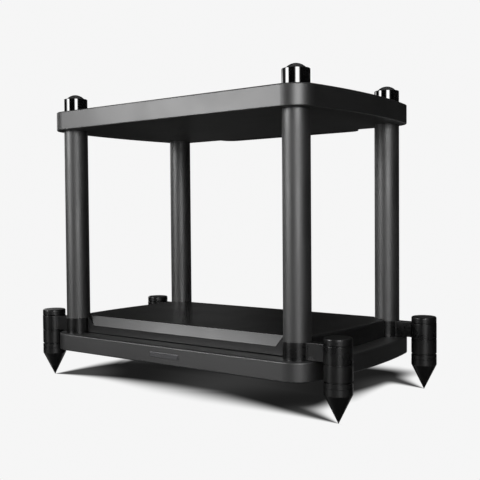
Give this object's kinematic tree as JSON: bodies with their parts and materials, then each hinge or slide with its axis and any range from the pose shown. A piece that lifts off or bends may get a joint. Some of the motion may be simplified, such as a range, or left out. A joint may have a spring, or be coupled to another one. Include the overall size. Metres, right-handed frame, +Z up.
{
  "type": "speaker stand",
  "caption": "Low wide speaker stand: bowed black boards joined by round columns, an inner deck, domed caps and outrigger feet whose spikes are set in height by knobs.",
  "frame": {"origin": "on the floor under the middle of the stand, level with the spike tips", "axes": "X to the right along the front, Y from the front to the back, Z up"},
  "size_m": [0.5966, 0.346, 0.4669],
  "materials": {
    "board_lacquer": "satin black lacquer on board",
    "column_satin": "satin black paint on steel tube",
    "gloss_black": "gloss black paint",
    "foot_satin": "satin black on turned steel",
    "casting_satin": "satin black paint on cast metal",
    "rail_matt": "matt black lacquer",
    "plain_steel": "zinc-plated steel",
    "plug_plastic": "moulded black plastic"
  },
  "bodies": {
    "root": {"top_board": "board_lacquer", "base_board": "board_lacquer", "deck_board": "board_lacquer", "column_fl": "column_satin", "column_fr": "column_satin", "column_bl": "column_satin", "column_br": "column_satin", "top_cap_fl": "gloss_black", "top_cap_fr": "gloss_black", "top_cap_bl": "gloss_black", "top_cap_br": "gloss_black", "outrigger_fl": "casting_satin", "outrigger_fr": "casting_satin", "outrigger_bl": "casting_satin", "outrigger_br": "casting_satin", "foot_barrel_fl": "foot_satin", "foot_barrel_fr": "foot_satin", "foot_barrel_bl": "foot_satin", "foot_barrel_br": "foot_satin", "rear_rail": "rail_matt", "tie_rod_fl": "plain_steel", "tie_rod_fr": "plain_steel", "tie_rod_bl": "plain_steel", "tie_rod_br": "plain_steel", "base_washers": "plain_steel", "base_nuts": "plain_steel", "deck_screws": "plain_steel", "rear_rail_screws": "plain_steel", "column_plug_fl": "plug_plastic", "column_plug_fr": "plug_plastic", "column_plug_bl": "plug_plastic", "column_plug_br": "plug_plastic"},
    "height_knob_fl": {"foot_knob_fl": "foot_satin", "knob_ring_fl": "plain_steel"},
    "foot_spike_fl": {"spike_fl": "foot_satin"},
    "height_knob_fr": {"foot_knob_fr": "foot_satin", "knob_ring_fr": "plain_steel"},
    "foot_spike_fr": {"spike_fr": "foot_satin"},
    "height_knob_bl": {"foot_knob_bl": "foot_satin", "knob_ring_bl": "plain_steel"},
    "foot_spike_bl": {"spike_bl": "foot_satin"},
    "height_knob_br": {"foot_knob_br": "foot_satin", "knob_ring_br": "plain_steel"},
    "foot_spike_br": {"spike_br": "foot_satin"}
  },
  "joints": [
    {"name": "knob_turn_fl", "type": "hinge", "parent": "root", "child": "height_knob_fl", "pos_m": [-0.2793, -0.1409, 0.1065], "axis": [0, 0, -1], "range_deg": [0, 2880]},
    {"name": "spike_travel_fl", "type": "slide", "parent": "height_knob_fl", "child": "foot_spike_fl", "axis": [0, 0, -1], "range_m": [0, 0.012]},
    {"name": "knob_turn_fr", "type": "hinge", "parent": "root", "child": "height_knob_fr", "pos_m": [0.2793, -0.1409, 0.1065], "axis": [0, 0, -1], "range_deg": [0, 2880]},
    {"name": "spike_travel_fr", "type": "slide", "parent": "height_knob_fr", "child": "foot_spike_fr", "axis": [0, 0, -1], "range_m": [0, 0.012]},
    {"name": "knob_turn_bl", "type": "hinge", "parent": "root", "child": "height_knob_bl", "pos_m": [-0.2793, 0.1139, 0.1065], "axis": [0, 0, -1], "range_deg": [0, 2880]},
    {"name": "spike_travel_bl", "type": "slide", "parent": "height_knob_bl", "child": "foot_spike_bl", "axis": [0, 0, -1], "range_m": [0, 0.012]},
    {"name": "knob_turn_br", "type": "hinge", "parent": "root", "child": "height_knob_br", "pos_m": [0.2793, 0.1139, 0.1065], "axis": [0, 0, -1], "range_deg": [0, 2880]},
    {"name": "spike_travel_br", "type": "slide", "parent": "height_knob_br", "child": "foot_spike_br", "axis": [0, 0, -1], "range_m": [0, 0.012]}
  ],
  "couplings": [
    {"joint": "spike_travel_fl", "follows": "knob_turn_fl", "m_per_rad": 0.00023873},
    {"joint": "spike_travel_fr", "follows": "knob_turn_fr", "m_per_rad": 0.00023873},
    {"joint": "spike_travel_bl", "follows": "knob_turn_bl", "m_per_rad": 0.00023873},
    {"joint": "spike_travel_br", "follows": "knob_turn_br", "m_per_rad": 0.00023873}
  ]
}
